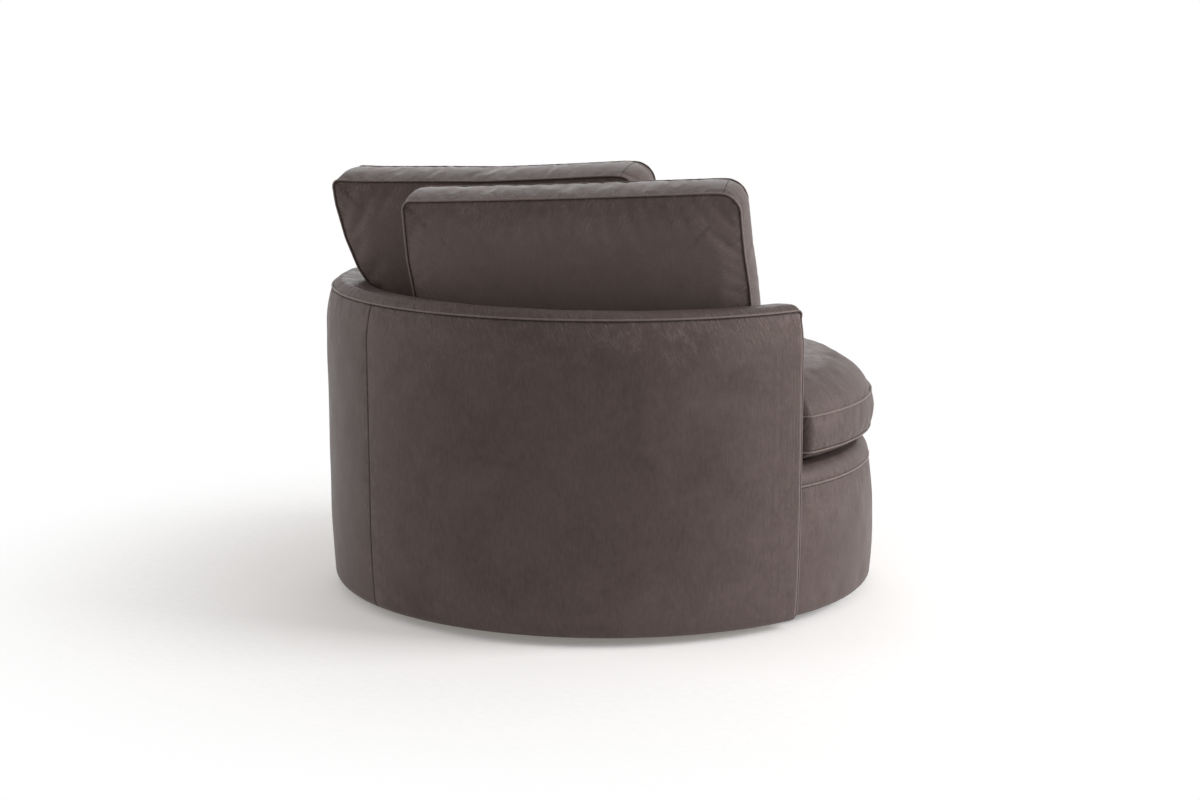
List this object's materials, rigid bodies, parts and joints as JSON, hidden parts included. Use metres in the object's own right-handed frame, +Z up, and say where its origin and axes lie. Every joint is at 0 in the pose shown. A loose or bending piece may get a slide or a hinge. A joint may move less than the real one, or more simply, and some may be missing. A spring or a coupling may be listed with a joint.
{
  "type": "swivel accent chair",
  "caption": "Round low armchair with a wrap-round leather shell, a drum seat cushion and loose back cushions, turning freely on a hidden floor plinth.",
  "frame": {"origin": "on the floor, on the swivel axis, which is the middle of the round plan", "axes": "+Z up, -Y towards the open front of the seat, +X to the sitter's left"},
  "size_m": [1.15, 1.132, 0.8672],
  "materials": {
    "leather": "smooth semi-aniline, soft sheen",
    "plywood": "sanded",
    "wadding": "fibre fill",
    "cloth": "woven",
    "steel": "zinc plated",
    "nylon": "moulded"
  },
  "bodies": {
    "plinth": {"glides": "nylon", "plinth_ring": "plywood", "plinth_board": "plywood", "swivel_lower_plate": "steel", "bearing_balls": "steel", "ball_cage": "nylon", "king_pin": "steel", "king_pin_washer": "steel", "king_pin_nut": "steel", "lower_plate_screws": "steel"},
    "chair": {"apron_board": "plywood", "apron_leather": "leather", "apron_padding": "wadding", "arm_front_board_left": "plywood", "arm_front_board_right": "plywood", "arm_front_leather_left": "leather", "arm_front_leather_right": "leather", "arm_front_padding_left": "wadding", "arm_front_padding_right": "wadding", "base_welt": "leather", "bottom_frame_ring": "plywood", "cross_rail_front": "plywood", "cross_rail_rear": "plywood", "deck_border": "leather", "deck_cloth": "cloth", "deck_pad": "wadding", "dust_cover": "cloth", "frame_posts": "plywood", "inner_leather": "leather", "left_back_cushion": "leather", "outer_leather_left": "leather", "outer_leather_right": "leather", "pivot_bush": "nylon", "right_back_cushion": "leather", "rim_leather": "leather", "rim_padding": "wadding", "rim_welt": "leather", "seat_cushion_core": "wadding", "seat_cushion_cover": "leather", "seat_frame_ring": "plywood", "seat_lower_welt": "leather", "seat_upper_welt": "leather", "shell_bottom_rail": "plywood", "shell_inner_board": "plywood", "shell_inner_padding": "wadding", "shell_outer_board": "plywood", "shell_outer_padding": "wadding", "shell_ribs": "plywood", "shell_top_rail": "plywood", "swivel_upper_plate": "steel", "upper_plate_bolts": "steel", "webbing_crosswise": "cloth", "webbing_lengthwise": "cloth"}
  },
  "joints": [
    {"name": "swivel", "type": "hinge", "parent": "plinth", "child": "chair", "pos_m": [0, 0, 0.06], "axis": [0, 0, 1], "continuous": true}
  ]
}
